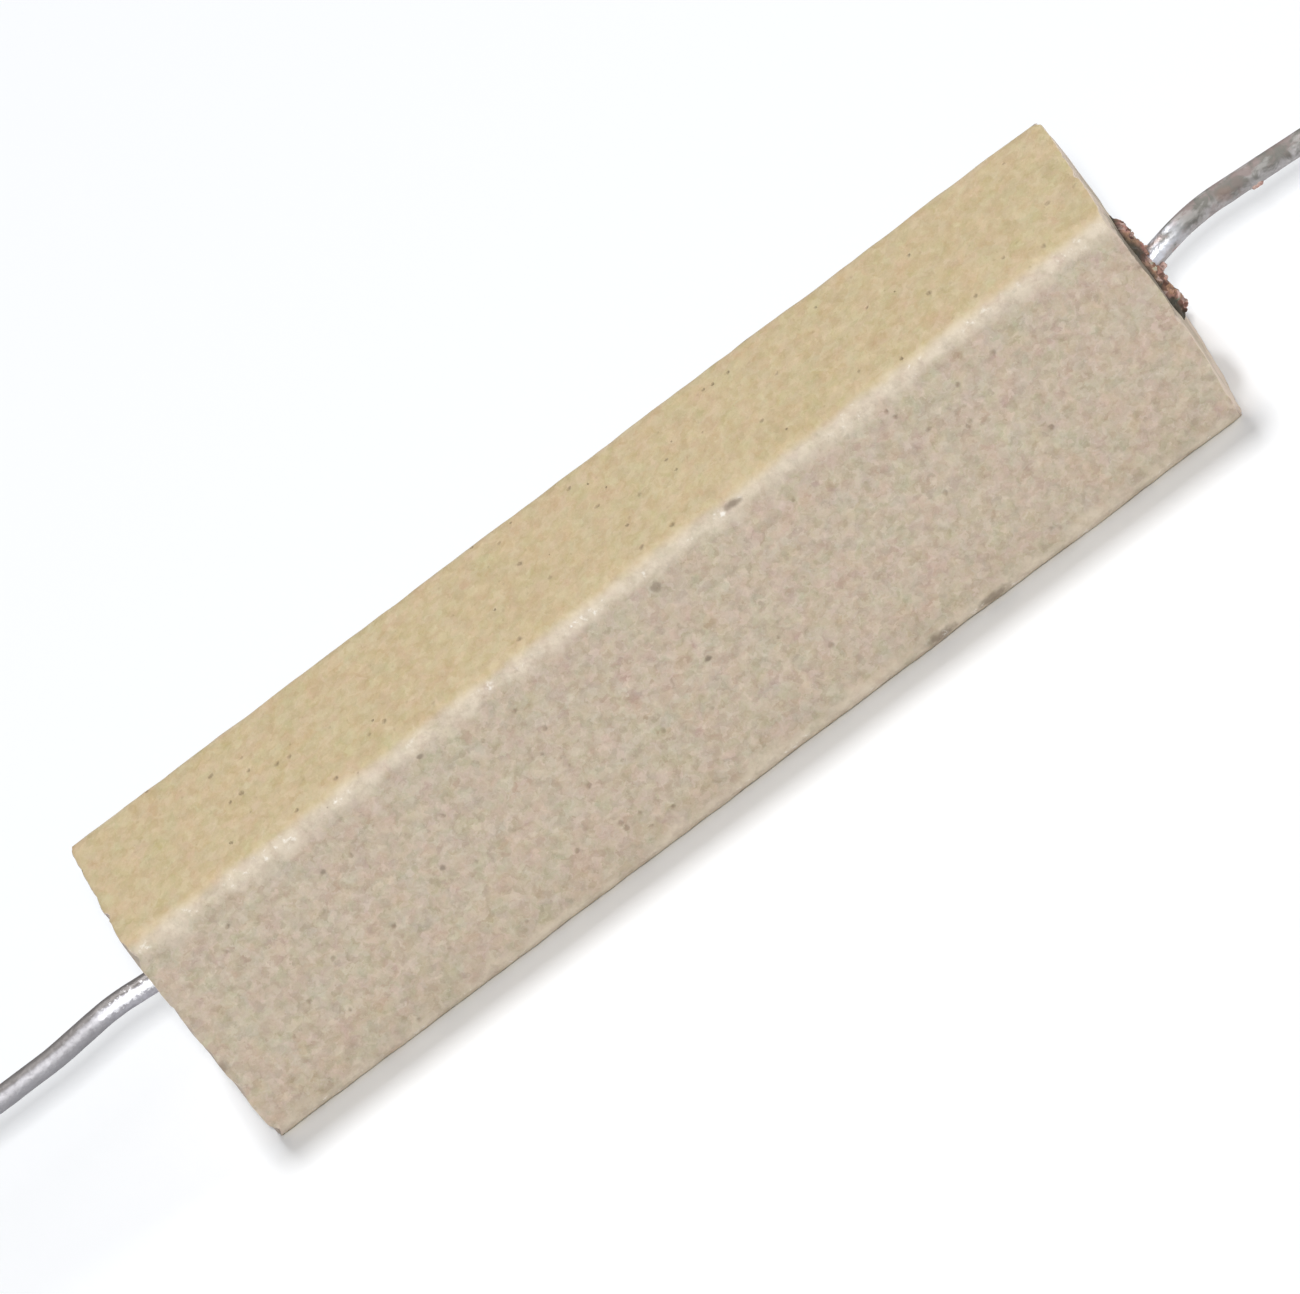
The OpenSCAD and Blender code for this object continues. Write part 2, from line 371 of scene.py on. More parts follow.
def add_grains(bm, places, seed):
    """Adds a squashed and turned grain at each place."""
    rng = random.Random(seed)
    for centre, size in places:
        squash = Vector([rng.uniform(*GRAIN_SQUASH) for _ in range(3)])
        turn = Quaternion([rng.gauss(0, 1) for _ in range(4)])
        matrix = Matrix.LocRotScale(centre, turn.normalized(), squash)
        bmesh.ops.create_icosphere(bm, subdivisions=1, radius=size, matrix=matrix)


def fused(bm):
    """One closed skin round all the shapes of a bmesh, in millimetres."""
    mesh = bpy.data.meshes.new("blank")
    bm.to_mesh(mesh)
    bm.free()
    blank = bpy.data.objects.new("blank", mesh)
    bpy.context.scene.collection.objects.link(blank)
    remesh = blank.modifiers.new("skin", "REMESH")
    remesh.mode = "VOXEL"
    remesh.voxel_size = VOXEL
    graph = bpy.context.evaluated_depsgraph_get()
    skin = bpy.data.meshes.new_from_object(blank.evaluated_get(graph))
    out = bmesh.new()
    out.from_mesh(skin)
    bpy.data.objects.remove(blank)
    bpy.data.meshes.remove(mesh)
    bpy.data.meshes.remove(skin)
    return out


def mark_grains(bm, places, seed, tone_range, top=None):
    """Writes the tone of each point's grain. With a crown's top, it also writes the painted shade of the
    point's hollow, or at the foot of a crown that stands out.
    """
    tree = kdtree.KDTree(len(places))
    for i, (centre, _) in enumerate(places):
        tree.insert(centre, i)
    tree.balance()
    rng = random.Random(seed)
    tones = [rng.uniform(*tone_range) for _ in places]
    tone = bm.verts.layers.float.new("grain_tone")
    shade_layer = bm.verts.layers.float.new("painted_shade")
    for v in bm.verts:
        p = v.co
        v[tone] = tones[tree.find(p)[1]]
        if top is None:
            continue
        height = p.x - END
        # Painted shade in the hollows of a crown.
        v[shade_layer] = smooth_step(*HOLLOW_SHADE_RANGE, crown_height(p.y, p.z, top, 0) - height)
        # Painted shade at the foot of a crown that stands out.
        if top > 0:
            v[shade_layer] = max(v[shade_layer], 1 - smooth_step(*FOOT_SHADE_RANGE, height + 0.2 * ripple(p, 0.5, seed)))


def crumbly_plug(name, side, top, shrink, seed, material, node):
    """Plug of fused grains in one end of the bore."""
    bm = plug_base(top, shrink)
    places = grain_places(seed, top, shrink)
    add_grains(bm, places, seed + 1)
    bm = fused(bm)
    bm.normal_update()
    for v in bm.verts:
        if v.co.x > END - PITTED_LENGTH:
            v.co += v.normal * layered(v.co, 0, PIT_LAYERS, seed)
    mark_grains(bm, places, seed + 2, (0, 1), top)
    if side < 0:
        bmesh.ops.scale(bm, vec=(-1, 1, 1), verts=bm.verts)
        bmesh.ops.reverse_faces(bm, faces=bm.faces)
    return add_piece(name, bm, "cement", material, node)


# Leads

def grow_run(bm, edges, direction, length):
    """Extrudes a ring of edges straight on, in short steps, and returns the last ring."""
    steps = max(1, round(length / LEAD_STEP))
    for _ in range(steps):
        made = bmesh.ops.extrude_edge_only(bm, edges=edges)["geom"]
        verts = [g for g in made if isinstance(g, bmesh.types.BMVert)]
        bmesh.ops.translate(bm, vec=direction * (length / steps), verts=verts)
        edges = [g for g in made if isinstance(g, bmesh.types.BMEdge) and g.is_boundary]
    return edges


def grow_bend(bm, edges, corner, slope_in, slope_out):
    """Spins a ring of edges round a bend in the XZ plane, and returns the last ring."""
    turn = slope_out - slope_in
    up = math.copysign(1, turn)
    back = BEND_R * math.tan(abs(turn) / 2)
    start = corner - Vector((math.cos(slope_in), 0, math.sin(slope_in))) * back
    centre = start + Vector((-math.sin(slope_in), 0, math.cos(slope_in))) * BEND_R * up
    steps = max(3, round(BEND_R * abs(turn) / LEAD_STEP))
    verts = list({v for e in edges for v in e.verts})
    made = bmesh.ops.spin(
        bm, geom=verts + edges, cent=centre, axis=(0, -1, 0), dvec=(0, 0, 0),
        angle=turn, steps=steps, use_merge=False, use_normal_flip=False, use_duplicate=False,
    )["geom_last"]
    return [g for g in made if isinstance(g, bmesh.types.BMEdge)]


def lead_wire(bends):
    """Straight runs and round bends of a lead along +X, from the weld on its cap to its tip."""
    bm = bmesh.new()
    turned = Matrix.Translation((CAP_X, 0, 0)) @ Matrix.Rotation(math.pi / 2, 4, "Y")
    ring = bmesh.ops.create_circle(bm, segments=LEAD_SIDES, radius=LEAD_R, matrix=turned)
    edges = list({e for v in ring["verts"] for e in v.link_edges})
    corner, slope, used = Vector((CAP_X, 0, 0)), 0.0, 0.0
    for x, degrees in bends:
        next_corner = corner + Vector((1, 0, math.tan(slope))) * (END + x - corner.x)
        next_slope = math.radians(degrees)
        back = BEND_R * math.tan(abs(next_slope - slope) / 2)
        direction = Vector((math.cos(slope), 0, math.sin(slope)))
        edges = grow_run(bm, edges, direction, (next_corner - corner).length - used - back)
        edges = grow_bend(bm, edges, next_corner, slope, next_slope)
        corner, slope, used = next_corner, next_slope, back
    direction = Vector((math.cos(slope), 0, math.sin(slope)))
    grow_run(bm, edges, direction, (TIP - corner.x) / math.cos(slope) - used)
    bmesh.ops.holes_fill(bm, edges=[e for e in bm.edges if e.is_boundary])
    bmesh.ops.recalc_face_normals(bm, faces=bm.faces)
    return bm


def tin_lead(bm, seed):
    """Lays the uneven tin coat on a lead: long runs, fine grain and a few beads."""
    bm.normal_update()
    moves = []
    for v in bm.verts:
        p = v.co
        long_p = Vector((p.x * 0.5, p.y, p.z))
        coat = TIN_RUN * ripple(long_p, 0.85, seed) + TIN_GRAIN * ripple(p, 0.37, seed + 1)
        coat += TIN_BEAD * max(0, ripple(p, 0.9, seed + 2) - 0.25)
        moves.append(v.normal * (coat - TIN_SINK) * smooth_step(END - 1.5, END - 0.5, p.x))
    for v, move in zip(bm.verts, moves):
        v.co += move


def tinned_lead(name, side, bends, seed, material, node):
    """Lead on one side of the body, with the plane of its bends rolled about the body's axis."""
    bm = lead_wire(bends)
    tin_lead(bm, seed)
    bmesh.ops.rotate(bm, matrix=Matrix.Rotation(-BEND_ROLL, 3, "X"), verts=bm.verts)
    if side < 0:
        bmesh.ops.scale(bm, vec=(-1, 1, 1), verts=bm.verts)
        bmesh.ops.reverse_faces(bm, faces=bm.faces)
    return add_piece(name, bm, "tinned_copper", material, node)


def bent_height(bends, x):
    """Height of a lead's corners over the axis at a distance from the case's end, before its roll."""
    height, slope, last = 0.0, 0.0, CAP_X - END
    for corner, degrees in bends:
        if corner > x:
            break
        height += (corner - last) * math.tan(slope)
        slope, last = math.radians(degrees), corner
    return height + (x - last) * math.tan(slope)


def cement_residue(material):
    """Crumbs where the right lead comes out of its plug, and a nodule under the lead."""
    rng = random.Random(RESIDUE_SEED)
    bm = bmesh.new()
    places = []
    for x, rise, spread, sizes, count in RESIDUES:
        for _ in range(count):
            size = rng.uniform(*sizes)
            centre = Vector((
                END + x + rng.uniform(-spread, spread), rng.uniform(-RESIDUE_WIDTH, RESIDUE_WIDTH),
                bent_height(RIGHT_BENDS, x) + rise + rng.uniform(-RESIDUE_RISE, RESIDUE_RISE),
            ))
            places.append((centre, size))
    add_grains(bm, places, RESIDUE_SEED + 1)
    bm = fused(bm)
    mark_grains(bm, places, RESIDUE_SEED + 2, RESIDUE_TONES)
    bmesh.ops.rotate(bm, matrix=Matrix.Rotation(-BEND_ROLL, 3, "X"), verts=bm.verts)
    return add_piece("cement_residue", bm, "cement", material)


# Materials

# The light that a full swing of lightness adds to the ceramic
MOTTLE_LIGHT = (0.465, 0.435, 0.385)

# Colours of the ceramic: its faces in painted warm and cool light, its worn edges with a painted highlight,
# its specks, its sawn ends with painted light and shade, and what lies on it
# The two face colours paint warm light on the top and bottom faces and cooler light on the front and back.
WARM_LIT_FACE = (0.566, 0.454, 0.280, 1)
COOL_LIT_FACE = (0.484, 0.403, 0.308, 1)
# Paler edge colours: wear, with a painted highlight on the long edges.
WARM_LIT_WORN_EDGE = (0.65, 0.55, 0.39, 1)
COOL_LIT_WORN_EDGE = (0.65, 0.565, 0.45, 1)
BIG_SPECK = (0.22, 0.145, 0.085, 1)
SMALL_SPECK = (0.26, 0.175, 0.105, 1)
# Pale sawn rim: partly its own colour, partly painted light on the ends.
LIT_SAWN_RIM = (0.80, 0.67, 0.57, 1)
# Painted shade at the foot of the right plug.
PLUG_FOOT_SHADE = (0.125, 0.1, 0.065, 1)
STAIN = (0.215, 0.17, 0.125, 1)
GLINT = (0.93, 0.91, 0.86, 1)

# Painted shade between the right plug and the front edge, and stains of the case: centre and reach in
# millimetres, then softness and strength
PLUG_FOOT_SHADE_PLACE = (END + 0.05, -3.5, AXIS.z / MM + 1.7)
PLUG_FOOT_SHADE_REACH = (0.8, 1.5, 1.9)
DARK_STAINS = (
    ((1.03, -4.5, 8.04), (0.16, 0.3, 0.17), 0.5, 0.55),
    ((0.9, -4.5, 4.84), (0.11, 0.3, 0.09), 0.5, 0.9),
    ((-9.98, -4.5, 4.55), (0.1, 0.3, 0.1), 0.5, 0.7),
    ((-8.32, -4.5, 8.25), (0.1, 0.3, 0.08), 0.5, 0.7),
    ((-13.07, -4.5, 7.02), (0.1, 0.3, 0.1), 0.5, 0.7),
    ((4.63, -4.4, 8.7), (0.28, 0.25, 0.1), 0.7, 0.8),
    ((7.3, -4.4, 0.42), (0.5, 0.4, 0.2), 0.6, 0.75),
    ((9.4, -4.4, 0.4), (0.55, 0.4, 0.18), 0.6, 0.7),
    ((-19.6, -4.4, 3.58), (0.25, 0.4, 0.2), 0.6, 0.5),
)

# Colours of the cement, with painted shade in its pits and hollows
RED_GRAIN = (0.48, 0.25, 0.21, 1)
BROWN_GRAIN = (0.44, 0.26, 0.16, 1)
DARK_GRAIN = (0.12, 0.052, 0.036, 1)
PINK_GRAIN = (0.54, 0.38, 0.33, 1)
OLIVE_GRAIN = (0.44, 0.42, 0.31, 1)
# Dark specks painted as shade in small pits.
PIT_SHADE = (0.055, 0.03, 0.022, 1)
# Painted shade of the hollows.
HOLLOW_SHADE = (0.022, 0.026, 0.016, 1)

# Colours of the tin, each pair from dark to light grain, its painted shade and highlights, and the rusty
# patch beside the nodule
BRIGHT_TIN = ((0.38, 0.372, 0.41, 1), (0.52, 0.51, 0.555, 1))
FAR_TIN = (0.29, 0.282, 0.29, 1)
# Painted shade on the crest of the left lead.
SHADED_CREST = (0.155, 0.145, 0.142, 1)
# Painted highlight on the left lead.
HIGHLIGHT_TIN = (0.86, 0.86, 0.89, 1)
GREY_TIN = ((0.37, 0.352, 0.352, 1), (0.47, 0.45, 0.45, 1))
# Painted shade on the upper side of the right lead, browner on its crest.
SHADED_TOP_TIN = (0.175, 0.17, 0.155, 1)
BROWN_SHADED_CREST = (0.25, 0.21, 0.2, 1)
STREAK = (0.36, 0.35, 0.34, 1)
BROWN_PATCH = (0.27, 0.205, 0.19, 1)
RUST = (0.24, 0.165, 0.14, 1)
# Painted bluish highlight by the right plug.
BLUE_HIGHLIGHT = (0.66, 0.69, 0.77, 1)
CEMENT_SMEAR = (0.45, 0.25, 0.20, 1)
RUST_PLACE = (23.1, -0.25, 4.9)
RUST_REACH = (0.3, 0.25, 0.22)


def new_material(name):
    """New material, the graph of its nodes, and its shader."""
    material = bpy.data.materials.new(name)
    material.use_nodes = True
    tree = material.node_tree
    return material, Graph(tree), tree.nodes["Principled BSDF"]


class Graph:
    """Adds nodes to a tree and joins them, in the order in which a recipe reads."""

    def __init__(self, tree):
        self.tree = tree

    def feed(self, node, inputs):
        """Joins sockets to a node's inputs, or writes values in them."""
        for key, value in inputs.items():
            if isinstance(value, bpy.types.NodeSocket):
                self.tree.links.new(value, node.inputs[key])
            else:
                node.inputs[key].default_value = value

    def add(self, kind, inputs=(), **settings):
        node = self.tree.nodes.new(kind)
        for key, value in settings.items():
            setattr(node, key, value)
        self.feed(node, dict(inputs))
        return node

    def math(self, operation, *values):
        return self.add("ShaderNodeMath", dict(enumerate(values)), operation=operation).outputs[0]

    def vector(self, operation, *values):
        return self.add("ShaderNodeVectorMath", dict(enumerate(values)), operation=operation).outputs[0]

    def axes(self, vector):
        return self.add("ShaderNodeSeparateXYZ", {"Vector": vector}).outputs

    def channels(self, colour):
        return self.add("ShaderNodeSeparateColor", {"Color": colour}).outputs

    def millimetres(self):
        """Object coordinates in millimetres."""
        return self.vector("MULTIPLY", self.add("ShaderNodeTexCoord").outputs["Object"], (1 / MM,) * 3)

    def facing(self):
        """X, Y and Z of the direction that the surface faces."""
        return self.axes(self.add("ShaderNodeNewGeometry").outputs["Normal"])

    def noise(self, place, scale, detail=2.0, rough=0.5, distortion=0.0):
        return self.add("ShaderNodeTexNoise", {
            "Vector": place, "Scale": scale, "Detail": detail,
            "Roughness": rough, "Distortion": distortion,
        }).outputs["Fac"]

    def colour_noise(self, place, scale, detail, rough=0.6):
        return self.add("ShaderNodeTexNoise", {
            "Vector": place, "Scale": scale, "Detail": detail, "Roughness": rough,
        }).outputs["Color"]

    def ramp(self, value, low, high, out_low=0.0, out_high=1.0, smooth=True):
        return self.add("ShaderNodeMapRange", {
            "Value": value, "From Min": low, "From Max": high, "To Min": out_low, "To Max": out_high,
        }, interpolation_type="SMOOTHSTEP" if smooth else "LINEAR").outputs["Result"]

    def mix(self, share, a, b, blend="MIX"):
        return self.add("ShaderNodeMix", {
            "Factor": share, 6: a, 7: b,
        }, data_type="RGBA", blend_type=blend).outputs[2]

    def bump(self, height, distance):
        return self.add("ShaderNodeBump", {"Height": height, "Distance": distance}).outputs["Normal"]


def new_group(name, inputs, outputs):
    """Node group with named sockets: inputs are (name, kind, value), and outputs are (name, kind)."""
    tree = bpy.data.node_groups.new(name, "ShaderNodeTree")
    for label, kind, value in inputs:
        socket = tree.interface.new_socket(name=label, in_out="INPUT", socket_type=kind)
        if value is not None:
            socket.default_value = value
    for label, kind in outputs:
        tree.interface.new_socket(name=label, in_out="OUTPUT", socket_type=kind)
    return tree, tree.nodes.new("NodeGroupInput"), tree.nodes.new("NodeGroupOutput")


def speck_group():
    """Sparse round specks: a mask from the nearest of the random centres in each cell."""
    tree, come, go = new_group("specks", [
        ("Place", "NodeSocketVector", None), ("Scale", "NodeSocketFloat", 1.0),
        ("Share", "NodeSocketFloat", 0.3), ("Radius", "NodeSocketFloat", 0.1),
    ], [("Mask", "NodeSocketFloat")])
    g = Graph(tree)
    place = come.outputs["Place"]
    wobble = g.colour_noise(place, 5.0, 1.0, 0.5)
    shifted = g.vector("MULTIPLY_ADD", wobble, (0.12,) * 3, place)
    cells = g.add("ShaderNodeTexVoronoi", {"Vector": shifted, "Scale": come.outputs["Scale"]}).outputs
    chance = g.channels(cells["Color"])
    kept = g.math("LESS_THAN", chance["Red"], come.outputs["Share"])
    reach = g.math("MULTIPLY", come.outputs["Radius"], chance["Green"])
    near = g.ramp(cells["Distance"], g.math("MULTIPLY", reach, 0.1), reach, 1.0, 0.0)
    g.feed(go, {"Mask": g.math("MULTIPLY", near, kept)})
    return tree


def mottle_group():
    """Grains and clouds: redness and blueness multiplied into a colour, then lightness added to it."""
    tree, come, go = new_group("mottle", [
        ("Colour", "NodeSocketColor", (1, 1, 1, 1)), ("Place", "NodeSocketVector", None),
        ("Clouds", "NodeSocketFloat", 0.3), ("Grains", "NodeSocketFloat", 0.1),
        ("Tint", "NodeSocketFloat", 0.1),
    ], [("Colour", "NodeSocketColor")])
    g = Graph(tree)
    place, tint = come.outputs["Place"], come.outputs["Tint"]
    bent = g.vector("MULTIPLY_ADD", g.colour_noise(place, 3.2, 4), (0.6,) * 3, place)
    cell = g.channels(g.add("ShaderNodeTexVoronoi", {"Vector": bent, "Scale": 4.6}).outputs["Color"])
    cloud = g.channels(g.colour_noise(bent, 2.4, 5))
    broad = g.channels(g.colour_noise(bent, 1.5, 3))

    def swing(channel, share):
        return g.math("MULTIPLY", g.math("SUBTRACT", channel, 0.5), share)

    def both(label, cell_share, broad_share):
        grain = swing(cell[label], g.math("MULTIPLY", tint, cell_share))
        return g.math("ADD", grain, swing(broad[label], g.math("MULTIPLY", tint, broad_share)))

    red = both("Green", 0.2, 1.45)
    blue = both("Blue", 0.32, 2.6)
    tints = g.add("ShaderNodeCombineXYZ", {
        "X": g.math("ADD", 1.0, red), "Y": g.math("SUBTRACT", 1.0, red), "Z": g.math("ADD", 1.0, blue),
    }).outputs[0]
    tinted = g.mix(1.0, come.outputs["Colour"], tints, "MULTIPLY")
    clouds = swing(cloud["Red"], come.outputs["Clouds"])
    grains = swing(cell["Red"], come.outputs["Grains"])
    lit = g.vector("MULTIPLY_ADD", g.math("ADD", clouds, grains), MOTTLE_LIGHT, tinted)
    g.feed(go, {"Colour": lit})
    return tree


def mottled(g, group, colour, place, clouds, grains, tint):
    """A colour with grains and clouds laid over it."""
    return g.add("ShaderNodeGroup", {
        "Colour": colour, "Place": place, "Clouds": clouds, "Grains": grains, "Tint": tint,
    }, node_tree=group).outputs["Colour"]


def specks(g, group, place, scale, share, radius):
    """Mask of specks, which lie in a share of the cells."""
    return g.add("ShaderNodeGroup", {
        "Place": place, "Scale": scale, "Share": share, "Radius": radius,
    }, node_tree=group).outputs["Mask"]


def spot_mask(g, place, centre, reach, soft):
    """Round or long stain at a place in millimetres, with a ragged outline."""
    shaped = g.vector("DIVIDE", g.vector("SUBTRACT", place, centre), reach)
    length = g.add("ShaderNodeVectorMath", {0: shaped}, operation="LENGTH").outputs["Value"]
    ragged = g.math("ADD", length, g.ramp(g.noise(place, 5, 3), 0.3, 0.7, -0.3, 0.3, smooth=False))
    return g.ramp(ragged, 1 - soft, 1 + soft, 1.0, 0.0)


def worn_lit_edge(g, place, across, upward):
    """Mask of the long edges, where wear and a painted highlight lie: wavy, and wider in front and behind
    than above and below.
    """
    flat = HALF_SIDE - EDGE_R
    wide = g.ramp(g.noise(place, 0.7, 3), 0.3, 0.7, -0.3, 0.3, smooth=False)
    ridge = g.math("MINIMUM", g.math("SUBTRACT", across, 0.15), g.math("ADD", upward, 0.12))
    return g.ramp(g.math("ADD", ridge, wide), flat - 0.2, flat + 0.45)


def sawn_end_light_and_shade(g, place, across, upward, on_end, colour):
    """Makes the sawn ends paler towards their rims, partly with painted light, with painted shade beside
    the right plug.
    """
    # Paler rims: partly their own colour, partly painted light on the ends.
    rim = g.ramp(g.math("MAXIMUM", across, upward), HALF_SIDE - 1.6, HALF_SIDE - 0.6, 0.0, 0.5)
    colour = g.mix(g.math("MULTIPLY", on_end, rim), colour, LIT_SAWN_RIM)
    # Painted shade at the foot of the right plug, beside the front edge.
    foot_shade = g.math("MULTIPLY", spot_mask(g, place, PLUG_FOOT_SHADE_PLACE, PLUG_FOOT_SHADE_REACH, 0.35), on_end)
    return g.mix(g.math("MULTIPLY", foot_shade, 0.88), colour, PLUG_FOOT_SHADE)


def stained(g, place, colour):
    """Lays the case's small dark stains on a colour."""
    for centre, reach, soft, strength in DARK_STAINS:
        mask = spot_mask(g, place, centre, reach, soft)
        colour = g.mix(g.math("MULTIPLY", mask, strength), colour, STAIN)
    return colour


def edge_glint(g, place, lean, edge):
    """Mask of the small glints, which lie in clusters along the crests of the long edges."""
    crest = g.ramp(g.math("ABSOLUTE", g.math("ADD", lean, 0.1)), 0.1, 0.45, 1.0, 0.0)
    cluster = g.math("MULTIPLY", crest, g.ramp(g.noise(place, 1.1, 3), 0.46, 0.62))
    sparkle = g.ramp(g.noise(place, 4.5, 3, 0.65), 0.53, 0.7)
    return g.math("MULTIPLY", sparkle, g.math("MULTIPLY", edge, cluster))


def ceramic_material(speck, mottle):
    """Sandy unglazed ceramic: painted warm light above and below, cooler in front and behind, paler edges.
    """
    material, g, skin = new_material("sandy_ceramic")
    place = g.millimetres()
    parts = g.axes(place)
    across = g.math("ABSOLUTE", parts["Y"])
    upward = g.math("ABSOLUTE", g.math("SUBTRACT", parts["Z"], AXIS.z / MM))
    on_end = g.ramp(g.math("ABSOLUTE", g.facing()["X"]), 0.3, 0.65)
    off_end = g.math("SUBTRACT", 1.0, on_end)
    waver = g.ramp(g.noise(place, 1.4, 4), 0.2, 0.8, -0.2, 0.2, smooth=False)
    lean = g.math("ADD", g.math("SUBTRACT", upward, across), waver)
    # side is 1 on the top and bottom faces, which get the painted warm light.
    side = g.math("MULTIPLY", g.ramp(lean, -0.15, 0.6), off_end)
    long_way = g.vector("MULTIPLY", place, (1, 0.6, 1))
    cool = mottled(g, mottle, COOL_LIT_FACE, place, clouds=0.86, grains=0.15, tint=0.12)
    warm = mottled(g, mottle, WARM_LIT_FACE, long_way, clouds=0.66, grains=0.1, tint=0.1)
    big = specks(g, speck, long_way, scale=1.5, share=0.8, radius=0.21)
    small = specks(g, speck, long_way, scale=3.2, share=0.6, radius=0.3)
    colour = g.mix(side, cool, warm)
    colour = g.mix(g.math("MULTIPLY", big, 0.5), colour, BIG_SPECK)
    colour = g.mix(g.math("MULTIPLY", small, 0.26), colour, SMALL_SPECK)
    edge = g.math("MULTIPLY", worn_lit_edge(g, place, across, upward), off_end)
    # Pale long edges: wear with a painted highlight.
    wear_and_highlight = g.math("MULTIPLY", edge, g.ramp(g.noise(place, 2.2, 4, 0.65), 0.36, 0.64, 0.42, 1.0))
    colour = g.mix(wear_and_highlight, colour, g.mix(side, COOL_LIT_WORN_EDGE, WARM_LIT_WORN_EDGE))
    colour = sawn_end_light_and_shade(g, place, across, upward, on_end, colour)
    colour = stained(g, place, colour)
    glint = edge_glint(g, place, lean, edge)
    grain = g.math("ADD", g.noise(place, 4.5, 4, 0.65), g.math("MULTIPLY", big, -1.5))
    g.feed(skin, {
        "Base Color": g.mix(g.math("MULTIPLY", glint, 0.6), colour, GLINT),
        "Roughness": g.math("SUBTRACT", 0.85, g.math("MULTIPLY", glint, 0.3)),
        "Specular IOR Level": 0.3,
        "Normal": g.bump(grain, 0.04 * MM),
    })
    return material


def cement_material():
    """Crumbly red-brown cement: each grain has its own tone, and painted shade makes the hollows nearly
    black.
    """
    material, g, skin = new_material("crumbly_cement")
    place = g.millimetres()
    tone = g.add("ShaderNodeAttribute", attribute_name="grain_tone").outputs["Fac"]
    depth = g.add("ShaderNodeAttribute", attribute_name="painted_shade").outputs["Fac"]
    fine = g.noise(place, 4.5, 5, 0.65)
    usual = g.mix(g.ramp(g.noise(place, 1.6, 3), 0.4, 0.6), RED_GRAIN, BROWN_GRAIN)
    colour = g.mix(g.ramp(tone, 0.0, 0.85), DARK_GRAIN, usual)
    colour = g.mix(g.ramp(tone, 0.8, 0.84), colour, PINK_GRAIN)
    colour = g.mix(g.ramp(tone, 0.93, 0.95), colour, OLIVE_GRAIN)
    # Dark specks painted as shade in small pits.
    colour = g.mix(g.ramp(fine, 0.42, 0.66, 0.0, 0.65), colour, PIT_SHADE)
    # Painted shade in the hollows and at the foot of a crown.
    g.feed(skin, {
        "Base Color": g.mix(g.math("MULTIPLY", depth, 0.9), colour, HOLLOW_SHADE),
        "Roughness": 0.85,
        "Normal": g.bump(fine, 0.04 * MM),
    })
    return material


def bright_tin(g, place, upward, away, grain, patch):
    """Tin of the left lead: duller away from the case, painted shade on its crest, and a ragged painted
    highlight band.
    """
    colour = g.mix(g.ramp(grain, 0.35, 0.65), *BRIGHT_TIN)
    colour = g.mix(g.math("MULTIPLY", away, 0.8), colour, FAR_TIN)
    # Painted shade on the crest of the left lead.
    crest = g.ramp(g.math("ADD", upward, g.math("MULTIPLY", patch, 0.4)), 0.84, 1.04)
    colour = g.mix(crest, colour, SHADED_CREST)
    # Painted highlight: a ragged bright band that fades away from the case.
    ragged = g.math("MULTIPLY", g.math("SUBTRACT", g.noise(place, 7, 4, 0.7), 0.5), 1.8)
    band = g.math("ABSOLUTE", g.math("SUBTRACT", g.math("ADD", upward, ragged), 0.36))
    highlight = g.math("MULTIPLY", g.ramp(band, 0.15, 0.42, 1.0, 0.0), g.ramp(away, 0.15, 1.0, 0.9, 0.1))
    return g.mix(highlight, colour, HIGHLIGHT_TIN)


def grey_tin(g, drawn, upward, grain, blotch):
    """Tin of the right lead: painted shade above in blotches, browner on its crest, with streaks along it.
    """
    swing = g.math("MULTIPLY", g.math("SUBTRACT", blotch, 0.5), 3.2)
    # Painted shade on the upper side, with blotchy edges, browner on the crest.
    shaded_top = g.ramp(g.math("ADD", upward, swing), -0.4, 0.6)
    crest = g.ramp(g.math("SUBTRACT", upward, swing), 0.6, 1.1)
    streak = g.ramp(g.noise(drawn, 3.4, 3, 0.6), 0.52, 0.66, 0.0, 0.6)
    colour = g.mix(shaded_top, g.mix(g.ramp(grain, 0.35, 0.65), *GREY_TIN), SHADED_TOP_TIN)
    return g.mix(streak, g.mix(crest, colour, BROWN_SHADED_CREST), STREAK)


def marks_and_highlight_tin(g, place, drawn, dull, by_plug, patch, colour):
    """Marks of the right lead: brown patches, rust by the nodule, smears and a painted bluish highlight by
    its plug.
    """
    brown = g.math("MULTIPLY", g.ramp(patch, 0.5, 0.62), dull)
    colour = g.mix(g.math("MULTIPLY", brown, 0.35), colour, BROWN_PATCH)
    rust = spot_mask(g, place, RUST_PLACE, RUST_REACH, 0.5)
    colour = g.mix(g.math("MULTIPLY", rust, 0.5), colour, RUST)
    # Painted bluish highlight by the plug.
    plug_highlight = g.math("MULTIPLY", by_plug, g.ramp(g.noise(drawn, 2.2, 3), 0.42, 0.58))
    colour = g.mix(g.math("MULTIPLY", plug_highlight, 0.65), colour, BLUE_HIGHLIGHT)
    smear = g.math("MULTIPLY", by_plug, g.ramp(patch, 0.5, 0.58))
    return g.mix(g.math("MULTIPLY", smear, 0.55), colour, CEMENT_SMEAR)


